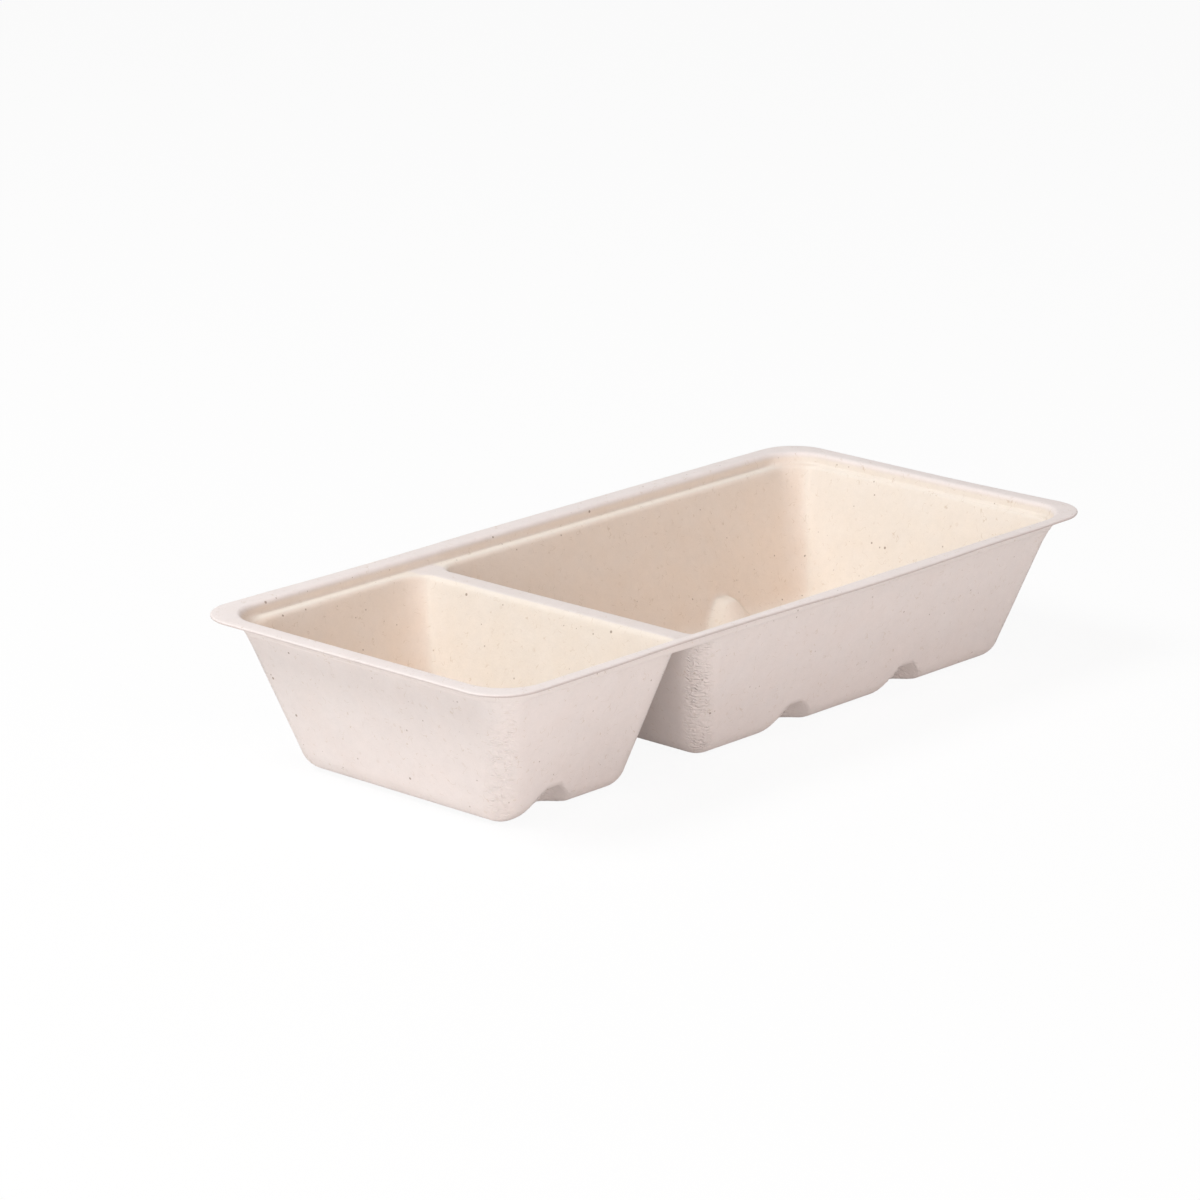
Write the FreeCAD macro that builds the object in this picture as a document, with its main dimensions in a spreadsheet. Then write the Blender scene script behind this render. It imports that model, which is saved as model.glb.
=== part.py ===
# Two-compartment snack tray, moulded in one piece from bagasse pulp.
#
# Millimetres. The origin is the middle of the tray's box, on the surface it stands on.
# +X runs along the length towards the large compartment, +Z is up, and the near side
# is the one at -Y.
#
# The tray is what is left between two mould forms. The inside form fills the hollow
# above the tray's upper side, the outside form fills that hollow and the tray too. One
# function makes both: the outside form is one wall thicker all over, its skin.
import FreeCAD, Part
import math
import os
import Sketcher

doc = FreeCAD.newDocument("snack_tray")

# ---------------------------------------------------------------- driving sizes
SIZES = [
    ("length", 225.0, "rim, over all"),
    ("width", 106.0, "rim, over all"),
    ("height", 40.0, "foot to the top of the rim"),
    ("wall", 0.8, "pressed pulp"),
    ("rim_corner", 12.0, "corner radius of the trimmed rim"),
    ("rim_end_flat", 4.2, "flat of the rim at the two ends"),
    ("rim_side_flat", 3.5, "flat of the rim along the two sides"),
    ("rim_round", 1.3, "bend from rim to collar, upper side"),
    ("rim_fill", 0.3, "how far pulp fills the corner under the rim"),
    ("collar_draft", 3.0, "degrees, the short wall between rim and ledge"),
    ("collar_corner", 11.0, "corner radius of the collar, upper side"),
    ("ledge_depth", 3.1, "top of the rim to the ledge"),
    ("ledge_end_width", 1.6, "ledge at the two ends"),
    ("ledge_side_width", 2.85, "ledge along the two sides"),
    ("ledge_round", 1.3, "bend from ledge or crest down into a cup, upper side"),
    ("ledge_fill_round", 0.9, "the same bend, underside"),
    ("cup_round", 6.5, "upright corners and foot of both cups, upper side"),
    ("end_draft", 16.5, "degrees, the two end walls"),
    ("side_draft", 17.1, "degrees, the long walls"),
    ("small_divider_draft", 14.0, "degrees, the divider's wall in the small cup"),
    ("large_divider_draft", 17.0, "degrees, the divider's wall in the large cup"),
    ("divider_place", 73.75, "small end of the rim to the middle of the divider"),
    ("divider_width", 6.7, "crest of the divider, at the ledge's level"),
    ("lug_radius", 11.6, "stacking lug, a cone pressed up into the foot, on the table"),
    ("lug_slope", 40.5, "degrees, the lug's cone from the table"),
    ("lug_height", 8.2, "table to the lug's flat top"),
    ("small_lug_place", 32.8, "small end of the rim to the small cup's near lug"),
    ("large_lug_place", 120.3, "small end of the rim to the large cup's first near lug"),
    ("lug_pitch", 43.2, "between the large cup's two lugs on a side"),
    ("lug_stagger", 12.4, "how much nearer the large end the far lugs stand"),
]

sheet = doc.addObject("Spreadsheet::Sheet", "Sizes")
for row, (alias, value, meaning) in enumerate(SIZES, start=1):
    sheet.set(f"A{row}", alias)
    sheet.set(f"B{row}", str(value))
    sheet.set(f"C{row}", meaning)
    sheet.setAlias(f"B{row}", alias)
doc.recompute()


def size(alias):
    """The value of a cell, for the starting shape of a sketch."""
    return float(sheet.get(alias))


# ---------------------------------------------------------------- levels and insets
# Expressions. An inset is measured from the rim's outer edge. skin is an expression
# too: 0 for the inside form and the wall for the outside form.
HALF_LENGTH = "Sizes.length / 2"
HALF_WIDTH = "Sizes.width / 2"
RIM_TOP = "Sizes.height"
LEDGE = "(Sizes.height - Sizes.ledge_depth)"
FLOOR = "Sizes.wall"
DIVIDER = f"(Sizes.divider_place - {HALF_LENGTH})"


def collar_inset(flat, level, skin):
    return (f"Sizes.{flat} + Sizes.rim_round"
            f" + (Sizes.height - {level}) * tan(Sizes.collar_draft) - {skin}")


def cup_inset(flat, ledge_width, draft, level, skin):
    at_ledge = collar_inset(flat, LEDGE, "0")
    return (f"{at_ledge} + Sizes.{ledge_width}"
            f" + ({LEDGE} - {level}) * tan(Sizes.{draft}) - {skin} / cos(Sizes.{draft})")


def collar_end(level, skin):
    """Middle of the tray to the collar at an end."""
    return f"({HALF_LENGTH} - ({collar_inset('rim_end_flat', level, skin)}))"


def collar_side(level, skin):
    """Middle of the tray to the collar along a side."""
    return f"({HALF_WIDTH} - ({collar_inset('rim_side_flat', level, skin)}))"


def cup_end(level, skin):
    """Middle of the tray to a cup's end wall."""
    inset = cup_inset("rim_end_flat", "ledge_end_width", "end_draft", level, skin)
    return f"({HALF_LENGTH} - ({inset}))"


def cup_side(level, skin):
    """Middle of the tray to a cup's long wall."""
    inset = cup_inset("rim_side_flat", "ledge_side_width", "side_draft", level, skin)
    return f"({HALF_WIDTH} - ({inset}))"


def divider_offset(draft, level, skin):
    """Middle of the divider to the wall that it gives a cup."""
    return (f"(Sizes.divider_width / 2"
            f" + ({LEDGE} - {level}) * tan(Sizes.{draft}) - {skin} / cos(Sizes.{draft}))")


# ---------------------------------------------------------------- features
QUARTER_TURN = math.pi / 2
TOUCH = 0.001  # two things nearer than this touch


def origin_plane(body, role):
    return next(f for f in body.Origin.OriginFeatures if f.Role == role)


def drafted_block(body, name, bottom, top, left, right, side):
    """A block with a slope of its own on each side.

    bottom and top are levels. left, right and side give the X of its two ends and the
    Y of its far side at a level. All of them are expressions.
    """
    block = body.newObject("PartDesign::AdditiveWedge", name)
    # On the XZ plane the wedge's own Y points up and its own Z points to the near side.
    block.AttachmentSupport = (origin_plane(body, "XZ_Plane"), [""])
    block.MapMode = "FlatFace"
    bindings = {
        "Ymin": bottom, "Ymax": top,
        "Xmin": left(bottom), "Xmax": right(bottom),
        "X2min": left(top), "X2max": right(top),
        "Zmin": f"-{side(bottom)}", "Zmax": side(bottom),
        "Z2min": f"-{side(top)}", "Z2max": side(top),
    }
    for name_of_size, expression in bindings.items():
        block.setExpression(name_of_size, expression)
    return block


def dress(body, kind, name, amount, wanted):
    """Fillet or chamfer those edges so far that wanted(edge, its faces) picks."""
    doc.recompute()
    base = body.Tip
    picked = []
    for number, edge in enumerate(base.Shape.Edges, start=1):
        if wanted(edge, base.Shape.ancestorsOfType(edge, Part.Face)):
            picked.append(f"Edge{number}")
    feature = body.newObject(f"PartDesign::{kind}", name)
    feature.Base = (base, picked)
    feature.setExpression({"Fillet": "Radius", "Chamfer": "Size"}[kind], amount)
    doc.recompute()


# ---------------------------------------------------------------- picking edges
def levels(thing):
    """The levels of the corners of an edge or a face."""
    return [vertex.Z for vertex in thing.Vertexes]


def spans(thing, bottom, top):
    """Whether an edge or a face runs from one level exactly to the other."""
    return abs(min(levels(thing)) - bottom) < TOUCH and abs(max(levels(thing)) - top) < TOUCH


def reaches_above(faces, level):
    return any(max(levels(face)) > level + TOUCH for face in faces)


def reaches_below(faces, level):
    return any(min(levels(face)) < level - TOUCH for face in faces)


# ---------------------------------------------------------------- the steps of a form
def add_collar(body, name, skin):
    """The short wall under the rim, down to the ledge."""
    block = drafted_block(
        body, f"{name}Collar", f"({LEDGE} - {skin})", RIM_TOP,
        lambda level: f"-{collar_end(level, skin)}", lambda level: collar_end(level, skin),
        lambda level: collar_side(level, skin))
    doc.recompute()
    ledge, rim = block.Ymin.Value, block.Ymax.Value
    dress(body, "Fillet", f"{name}CollarCorners", f"Sizes.collar_corner + {skin}",
          lambda edge, faces: spans(edge, ledge, rim))


def add_cups(body, name, skin):
    """Both compartments, with room for the divider between them."""
    floor, ledge = f"({FLOOR} - {skin})", f"({LEDGE} - {skin})"
    drafted_block(
        body, f"{name}SmallCup", floor, ledge, lambda level: f"-{cup_end(level, skin)}",
        lambda level: f"{DIVIDER} - {divider_offset('small_divider_draft', level, skin)}",
        lambda level: cup_side(level, skin))
    block = drafted_block(
        body, f"{name}LargeCup", floor, ledge,
        lambda level: f"{DIVIDER} + {divider_offset('large_divider_draft', level, skin)}",
        lambda level: cup_end(level, skin), lambda level: cup_side(level, skin))
    doc.recompute()
    bottom, top = block.Ymin.Value, block.Ymax.Value
    dress(body, "Fillet", f"{name}CupRounds", f"Sizes.cup_round + {skin}",
          lambda edge, faces: spans(edge, bottom, top) or spans(edge, bottom, bottom))


def add_lugs(body, name, skin):
    """Cones that dent the foot of the long walls, so that stacked trays come apart.

    Their middles lie where a long wall's underside would meet the table.
    """
    cover = f"(Sizes.wall - {skin})"  # how far the cone for this form is offset outwards
    foot_radius = f"Sizes.lug_radius + {cover} / sin(Sizes.lug_slope)"
    top = f"(Sizes.lug_height + {cover})"
    foot_line = cup_side("0", "Sizes.wall")
    near_places = ["Sizes.small_lug_place", "Sizes.large_lug_place",
                   "Sizes.large_lug_place + Sizes.lug_pitch"]
    for number, place in enumerate(near_places, start=1):
        # The seam of each cone is turned to the side that the tray leaves free.
        for side, across, stagger, seam in (("Near", f"-{foot_line}", "0", -90),
                                            ("Far", foot_line, "Sizes.lug_stagger", 90)):
            cone = body.newObject("PartDesign::SubtractiveCone", f"{name}Lug{side}{number}")
            cone.AttachmentSupport = (origin_plane(body, "XY_Plane"), [""])
            cone.MapMode = "FlatFace"
            turn = FreeCAD.Rotation(FreeCAD.Vector(0, 0, 1), seam)
            cone.AttachmentOffset = FreeCAD.Placement(FreeCAD.Vector(), turn)
            cone.setExpression("AttachmentOffset.Base.x", f"{place} + {stagger} - {HALF_LENGTH}")
            cone.setExpression("AttachmentOffset.Base.y", across)
            cone.setExpression("Radius1", foot_radius)
            cone.setExpression("Radius2", f"{foot_radius} - {top} / tan(Sizes.lug_slope)")
            cone.setExpression("Height", top)
            doc.recompute()


def rim_outline(body, name, level):
    """The trimmed rim, a rectangle with round corners."""
    sketch = body.newObject("Sketcher::SketchObject", name)
    sketch.AttachmentSupport = (origin_plane(body, "XY_Plane"), [""])
    sketch.MapMode = "FlatFace"
    sketch.setExpression("AttachmentOffset.Base.z", level)

    x, y, r = size("length") / 2, size("width") / 2, size("rim_corner")
    up = FreeCAD.Vector(0, 0, 1)
    centres = [(x - r, y - r), (r - x, y - r), (r - x, r - y), (x - r, r - y)]
    for quarter, (centre_x, centre_y) in enumerate(centres):
        circle = Part.Circle(FreeCAD.Vector(centre_x, centre_y, 0), up, r)
        start = quarter * QUARTER_TURN
        sketch.addGeometry(Part.ArcOfCircle(circle, start, start + QUARTER_TURN))
    sides = [((x - r, y), (r - x, y)), ((-x, y - r), (-x, r - y)),
             ((r - x, -y), (x - r, -y)), ((x, r - y), (x, y - r))]
    for start_point, end_point in sides:
        start_point, end_point = FreeCAD.Vector(*start_point), FreeCAD.Vector(*end_point)
        sketch.addGeometry(Part.LineSegment(start_point, end_point))

    far_side, left_side, near_side, right_side = 4, 5, 6, 7
    for arc, line in enumerate((far_side, left_side, near_side, right_side)):
        next_arc = (arc + 1) % len(centres)
        sketch.addConstraint(Sketcher.Constraint("Tangent", arc, 2, line, 1))
        sketch.addConstraint(Sketcher.Constraint("Tangent", line, 2, next_arc, 1))
    for line in (far_side, near_side):
        sketch.addConstraint(Sketcher.Constraint("Horizontal", line))
    for line in (left_side, right_side):
        sketch.addConstraint(Sketcher.Constraint("Vertical", line))
    for arc in (1, 2, 3):
        sketch.addConstraint(Sketcher.Constraint("Equal", 0, arc))
    named = [
        ("corner", Sketcher.Constraint("Radius", 0, r), "Sizes.rim_corner"),
        ("left", Sketcher.Constraint("DistanceX", left_side, 1, -x), f"-{HALF_LENGTH}"),
        ("right", Sketcher.Constraint("DistanceX", right_side, 1, x), HALF_LENGTH),
        ("far", Sketcher.Constraint("DistanceY", far_side, 1, y), HALF_WIDTH),
        ("near", Sketcher.Constraint("DistanceY", near_side, 1, -y), f"-{HALF_WIDTH}"),
    ]
    for label, constraint, expression in named:
        index = sketch.addConstraint(constraint)
        sketch.renameConstraint(index, label)
        sketch.setExpression(f"Constraints.{label}", expression)
    return sketch


def add_rim(body, name, skin):
    """A plate with the rim's outline: the rim itself, or the space just above it."""
    plate = body.newObject("PartDesign::Pad", f"{name}Rim")
    plate.Profile = rim_outline(body, f"{name}RimOutline", f"({RIM_TOP} - {skin})")
    plate.setExpression("Length", "Sizes.wall")


def make_form(name, skin):
    """One mould form, still without the bends at its ledge and rim."""
    body = doc.addObject("PartDesign::Body", name)
    body.AllowCompound = True  # the cups stay apart until the collar joins them
    add_cups(body, name, skin)
    add_lugs(body, name, skin)
    add_collar(body, name, skin)
    add_rim(body, name, skin)
    return body


# ---------------------------------------------------------------- the tray
wall = size("wall")
rim_level = size("height")
ledge_level = rim_level - size("ledge_depth")

inside = make_form("Inside", "0")
dress(inside, "Fillet", "InsideLedgeRounds", "Sizes.ledge_round",
      lambda edge, faces: spans(edge, ledge_level, ledge_level) and reaches_below(faces, ledge_level))
dress(inside, "Fillet", "InsideRimRounds", "Sizes.rim_round",
      lambda edge, faces: spans(edge, rim_level, rim_level) and reaches_below(faces, rim_level))

outside = make_form("Outside", "Sizes.wall")
under_ledge = ledge_level - wall
under_rim = rim_level - wall
# The sharp corner between collar and ledge on the upper side is a full bend below.
dress(outside, "Fillet", "OutsideHeelRounds", "Sizes.wall",
      lambda edge, faces: spans(edge, under_ledge, under_ledge) and reaches_above(faces, under_ledge))
dress(outside, "Fillet", "OutsideLedgeRounds", "Sizes.ledge_fill_round",
      lambda edge, faces: spans(edge, under_ledge, under_ledge) and reaches_below(faces, under_ledge))
dress(outside, "Chamfer", "OutsideRimFill", "Sizes.rim_fill",
      lambda edge, faces: spans(edge, under_rim, under_rim) and reaches_below(faces, under_rim))

tray = doc.addObject("Part::Cut", "Tray")
tray.Label = "tray"
tray.Base = outside
tray.Tool = inside
tray.Placement = FreeCAD.Placement()
doc.recompute()


# ---------------------------------------------------------------- checks and export
for item in doc.Objects:
    if "Invalid" in item.State or "Error" in item.State:
        raise RuntimeError(f"{item.Name} did not build: {item.State}")
if tray.Shape.isNull() or not tray.Shape.isValid() or len(tray.Shape.Solids) != 1:
    raise RuntimeError("the tray is not one valid solid")

os.makedirs("parts", exist_ok=True)
tray.Shape.exportStep(f"parts/{tray.Label}.step")
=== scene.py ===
"""Looks of the two-compartment bagasse snack tray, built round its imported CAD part.

The tray is one pressed sheet of pulp. Its surface is made here as rings of points that
run round the rim and round each cup, once for the upper side and once for the underside,
and the two are closed along the trimmed edge. The forms are worked out in millimetres and
turned into the frame's metres at the end.
"""

import math

import bpy
import numpy as np
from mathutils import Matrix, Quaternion, Vector, noise


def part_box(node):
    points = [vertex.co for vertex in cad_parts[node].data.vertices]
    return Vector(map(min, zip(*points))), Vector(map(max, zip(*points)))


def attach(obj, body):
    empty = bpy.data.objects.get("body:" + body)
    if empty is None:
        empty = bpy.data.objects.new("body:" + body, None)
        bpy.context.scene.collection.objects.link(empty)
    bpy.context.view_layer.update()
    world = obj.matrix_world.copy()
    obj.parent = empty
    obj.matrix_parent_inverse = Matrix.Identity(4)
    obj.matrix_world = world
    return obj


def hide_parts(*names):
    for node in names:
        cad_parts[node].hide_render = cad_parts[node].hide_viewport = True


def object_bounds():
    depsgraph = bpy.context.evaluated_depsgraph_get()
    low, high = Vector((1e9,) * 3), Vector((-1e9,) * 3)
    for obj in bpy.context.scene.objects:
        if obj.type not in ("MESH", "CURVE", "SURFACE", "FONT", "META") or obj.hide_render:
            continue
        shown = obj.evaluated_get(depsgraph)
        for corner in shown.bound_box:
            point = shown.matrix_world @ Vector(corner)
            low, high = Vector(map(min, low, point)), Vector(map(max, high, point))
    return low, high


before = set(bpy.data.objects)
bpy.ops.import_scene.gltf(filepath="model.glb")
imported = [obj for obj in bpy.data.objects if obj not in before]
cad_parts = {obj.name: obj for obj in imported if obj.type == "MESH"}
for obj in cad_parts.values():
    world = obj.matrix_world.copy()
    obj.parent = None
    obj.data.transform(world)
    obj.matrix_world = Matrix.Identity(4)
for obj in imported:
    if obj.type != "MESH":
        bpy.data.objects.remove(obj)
cad_low, cad_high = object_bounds()

MM = 0.001

# ---------------------------------------------------------------- the tray's sizes, mm
tray_low, tray_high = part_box("tray")
HALF_LENGTH = (tray_high.x - tray_low.x) / 2 / MM
HALF_WIDTH = (tray_high.y - tray_low.y) / 2 / MM
HEIGHT = (tray_high.z - tray_low.z) / MM

WALL = 0.8  # pressed pulp
SHIFT = -0.75  # the moulding sits this far off the middle of the trimmed rim, along Y

RIM_CORNER = 12.0
END_FLAT = 4.2  # the rim's flat, from the trimmed edge to the bend into the collar
SIDE_FLAT = 3.5
NEAR_FLAT = SIDE_FLAT + SHIFT
FAR_FLAT = SIDE_FLAT - SHIFT
EDGE_ROUND = 0.34  # the trimmed edge, top and bottom
RIM_ROUND = 1.3  # where the flat bends into the collar, upper side
RIM_ROUND_BELOW = 0.9
COLLAR_DRAFT = math.radians(3.0)
COLLAR_CORNER = 11.0
COLLAR_STRAIGHT = 0.05  # always left between the collar's two rounds
LEDGE_DEPTH = 3.1
END_LEDGE = 1.6
SIDE_LEDGE = 2.85
LEDGE_ROUNDED = 0.97  # the most of a ledge's width that its two rounds may take
HEEL_ROUND = 0.9  # where the collar meets the ledge, upper side
HEEL_ROUND_BELOW = 1.5
MOUTH_ROUND = 1.9  # where the ledge turns down into a cup, and along the crest
MOUTH_ROUND_BELOW = 1.2
CUP_ROUND = 6.5
CORNER_SHAPE = {"along_x": 1.3, "along_y": 0.77}  # an upright corner in a cup, to CUP_ROUND
END_DRAFT = math.radians(16.5)
SIDE_DRAFT = math.radians(17.1)
SMALL_DIVIDER_DRAFT = math.radians(14.0)
LARGE_DIVIDER_DRAFT = math.radians(17.0)
DIVIDER_X = 73.75 - HALF_LENGTH
DIVIDER_WIDTH = 6.7

LUG_RADIUS = 9.0  # on the table, underside
LUG_SLOPE = math.radians(50.0)
LUG_HEIGHT = 7.3
LUG_TIP_WALL = 1.7  # the pulp gathers at the tip
LUG_STAGGER = 10.4  # the lugs of the north wall lie so far east of the south wall's
LUG_PLACES = [from_end - HALF_LENGTH for from_end in (33.2, 122.0, 166.1)]
LUG_BLEND_ABOVE = 2.0  # how softly a lug runs into the floor and wall round it
LUG_BLEND_BELOW = (1.5, 3.6)  # the same underneath, at the table and at the lug's top
LUG_CROWN = 1.6  # how softly its flat top is rounded

LEDGE_Z = HEIGHT - LEDGE_DEPTH
CREST = DIVIDER_WIDTH / 2
COLLAR_DROP = LEDGE_DEPTH * math.tan(COLLAR_DRAFT)

# ---------------------------------------------------------------- this tray's flaws, mm
EDGE_WANDER = 0.18  # how far inwards the trimmed edge wavers
EDGE_WAVES = ((0.35, 9.0, 1), (0.3, 4.0, 7))  # share of that, wavelength and seed
EAST_TRIM = 0.7  # cut away in the middle of the east end
EAST_DROOP = 0.1  # how far the rim is turned down there
NEAR_TRIM = 1.0  # the same two on the south side, which the camera sees
NEAR_TRIM_SPAN = (DIVIDER_X, 52.0)  # where most is cut away, and how far to each side
NEAR_DROOP = 0.5
NEAR_DROOP_SPAN = (30.0, 50.0)
FAR_TRIM = 0.7  # on the north side
FAR_TRIM_SPAN = (DIVIDER_X - 16.0, 42.0)
WARP = 0.12  # the walls' sideways bulges, at the rim
WARP_WAVES = ((1.0, 26.0, 2, 3), (0.35, 7.0, 4, 5))  # share, wavelength, a seed for X and for Y
RIM_WAVE = 0.15  # how far the rim dips between its high places
RIM_WAVE_LENGTH, RIM_WAVE_SEED = 34.0, 6

# ---------------------------------------------------------------- how finely it is cut
ARC = 14  # steps round an upright corner
HALF_ARC = ARC // 2
SMALL_SIDE = 36  # steps along the small cup's long walls
LARGE_SIDE = 118  # and along the large cup's
ACROSS = 50  # along the end walls and the divider
WALL_STEPS = 25  # down a cup's wall
FOOT_STEPS = 9
ROUND_STEPS = 5
FLANGE_STEPS = 3
LEDGE_STEPS = 2
EDGE_STEPS = 3
FADE = 0.9  # how far the ledge dies out at the rim's corners
END_FADE = 0.3  # and along the two ends
FADE_REACH = HALF_ARC + 4  # steps to each side of a corner's middle
FADE_DEPTH = 4  # steps down the wall

WEST, EAST, SOUTH, NORTH = range(4)
FLATS = {WEST: END_FLAT, EAST: END_FLAT, SOUTH: NEAR_FLAT, NORTH: FAR_FLAT}
LEDGES = {WEST: END_LEDGE, EAST: END_LEDGE, SOUTH: SIDE_LEDGE, NORTH: SIDE_LEDGE}
DRAFTS = {WEST: END_DRAFT, EAST: END_DRAFT, SOUTH: SIDE_DRAFT, NORTH: SIDE_DRAFT}
TRIM = {WEST: -HALF_LENGTH, EAST: HALF_LENGTH, SOUTH: -HALF_WIDTH, NORTH: HALF_WIDTH}
INWARDS = {WEST: 1, EAST: -1, SOUTH: 1, NORTH: -1}


# ---------------------------------------------------------------- sections through a wall
def bend(before, corner, after, radius, steps):
    """Points of the arc that rounds a corner between two straight lines, ends included."""
    corner = np.array(corner)
    to_before = np.array(before) - corner
    to_after = np.array(after) - corner
    to_before /= np.linalg.norm(to_before)
    to_after /= np.linalg.norm(to_after)
    half = math.acos(np.clip(to_before @ to_after, -1, 1)) / 2
    bisector = (to_before + to_after) / np.linalg.norm(to_before + to_after)
    centre = corner + bisector * radius / math.sin(half)
    start = corner + to_before * radius / math.tan(half) - centre
    end = corner + to_after * radius / math.tan(half) - centre
    sweep = math.pi - 2 * half
    points = []
    for step in range(steps + 1):
        share = step / steps
        weights = math.sin((1 - share) * sweep), math.sin(share * sweep)
        points.append(tuple(centre + (start * weights[0] + end * weights[1]) / math.sin(sweep)))
    return points, tuple(centre)


def run(start, end, steps):
    """Points along a straight line, ends left out."""
    start, end = np.array(start), np.array(end)
    return [tuple(start + (end - start) * step / steps) for step in range(1, steps)]


def ledge_rounds(side, below):
    """Radii at the heel and the mouth, smaller where the ledge is too narrow for both."""
    heel = HEEL_ROUND_BELOW if below else HEEL_ROUND
    mouth = MOUTH_ROUND_BELOW if below else MOUTH_ROUND
    taken = (heel * math.tan((math.pi / 2 - COLLAR_DRAFT) / 2)
             + mouth * math.tan((math.pi / 2 - DRAFTS[side]) / 2))
    share = min(1.0, LEDGE_ROUNDED * LEDGES[side] / taken)
    return heel * share, mouth * share


def rim_section(side, below):
    """From the flange to the ledge: (inset, level) points of one skin."""
    flat = FLATS[side]
    skin = WALL if below else 0.0
    top = HEIGHT - skin
    ledge = LEDGE_Z - skin
    lean = math.tan(COLLAR_DRAFT)
    slide = skin / math.cos(COLLAR_DRAFT)

    def collar(level):
        return flat + RIM_ROUND + (HEIGHT - level) * lean - slide

    edge = (EDGE_ROUND, top)
    shoulder = (collar(top), top)
    heel = (collar(ledge), ledge)
    inwards = (collar(ledge) + LEDGES[side], ledge)
    rim_radius = RIM_ROUND_BELOW if below else RIM_ROUND
    heel_radius, _ = ledge_rounds(side, below)
    collar_length = math.hypot(heel[0] - shoulder[0], heel[1] - shoulder[1])
    room = collar_length - rim_radius - COLLAR_STRAIGHT
    shoulder_arc, _ = bend(edge, shoulder, heel, rim_radius, ROUND_STEPS)
    heel_arc, _ = bend(shoulder, heel, inwards, min(heel_radius, room), ROUND_STEPS)
    return [edge, *run(edge, shoulder_arc[0], FLANGE_STEPS), *shoulder_arc, *heel_arc]


def cup_section(inset_at_ledge, draft, mouth_radius, below):
    """From the ledge or crest to the floor: (inset, level) points and the foot's middle."""
    skin = WALL if below else 0.0
    ledge, floor = LEDGE_Z - skin, WALL - skin
    slide = skin / math.cos(draft)

    def wall(level):
        return inset_at_ledge + (LEDGE_Z - level) * math.tan(draft) - slide

    mouth, foot = (wall(ledge), ledge), (wall(floor), floor)
    outwards, inwards = (mouth[0] - 1, ledge), (foot[0] + 1, floor)
    foot_radius = CUP_ROUND + skin
    mouth_arc, _ = bend(outwards, mouth, foot, mouth_radius, ROUND_STEPS)
    foot_arc, foot_middle = bend(mouth, foot, inwards, foot_radius, FOOT_STEPS)
    down = run(mouth_arc[-1], foot_arc[0], WALL_STEPS)
    return [*mouth_arc, *down, *foot_arc], foot_middle


# ---------------------------------------------------------------- one ring of points
def ring(place, reach, level, breaks, side_steps):
    """Points round a rectangle with round corners, anticlockwise from the west end of its
    south-west corner.

    place gives its four sides, reach how far each side lies from the middles of its
    corners, and level the height along each side. breaks are the X at which the long
    sides are divided, and side_steps the steps of each part, from west to east.
    """
    west, east = place[WEST] + reach[WEST], place[EAST] - reach[EAST]
    south, north = place[SOUTH] + reach[SOUTH], place[NORTH] - reach[NORTH]
    points = []

    def corner(x, y, from_side, to_side, start):
        x_side = from_side if from_side in (WEST, EAST) else to_side
        y_side = to_side if from_side in (WEST, EAST) else from_side
        for step in range(ARC):
            share = step / ARC
            angle = start + share * math.pi / 2
            blend = share * share * (3 - 2 * share)
            z = level[from_side] * (1 - blend) + level[to_side] * blend
            points.append((x + reach[x_side] * math.cos(angle),
                           y + reach[y_side] * math.sin(angle), z))

    def along(ends, steps, y, z):
        for start, end, count in zip(ends, ends[1:], steps):
            for step in range(count):
                points.append((start + (end - start) * step / count, y, z))

    def across(x, start, end, z):
        for step in range(ACROSS):
            points.append((x, start + (end - start) * step / ACROSS, z))

    ends = [west, *breaks, east]
    corner(west, south, WEST, SOUTH, math.pi)
    along(ends, side_steps, place[SOUTH], level[SOUTH])
    corner(east, south, SOUTH, EAST, 1.5 * math.pi)
    across(place[EAST], south, north, level[EAST])
    corner(east, north, EAST, NORTH, 0.0)
    along(ends[::-1], side_steps[::-1], place[NORTH], level[NORTH])
    corner(west, north, NORTH, WEST, 0.5 * math.pi)
    across(place[WEST], north, south, level[WEST])
    return np.array(points)


def mouth_inset(side):
    """Trimmed edge to the upper line where a cup's wall would meet the ledge."""
    return FLATS[side] + RIM_ROUND + COLLAR_DROP + LEDGES[side]


BREAKS = [DIVIDER_X - CREST - CUP_ROUND, DIVIDER_X, DIVIDER_X + CREST + CUP_ROUND]
OUTER_STEPS = [SMALL_SIDE, HALF_ARC, HALF_ARC, LARGE_SIDE]


def rim_rings(below):
    """The rings from the flange's edge to the collar's foot."""
    sections = [rim_section(side, below) for side in range(4)]
    flange = FLANGE_STEPS  # the first ring on the bend
    rings = []
    for step in range(len(sections[0])):
        place, reach, level = [0] * 4, [0] * 4, [0] * 4
        for side in range(4):
            inset, z = sections[side][step]
            middle = FLATS[side] + RIM_ROUND + COLLAR_CORNER
            bend_inset = sections[side][flange][0]
            if step < flange:
                share = inset / bend_inset
                reach[side] = RIM_CORNER * (1 - share) + (middle - bend_inset) * share
            else:
                reach[side] = middle - inset
            place[side] = TRIM[side] + INWARDS[side] * inset
            level[side] = z
        rings.append(ring(place, reach, level, BREAKS, OUTER_STEPS))
    return rings


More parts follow.
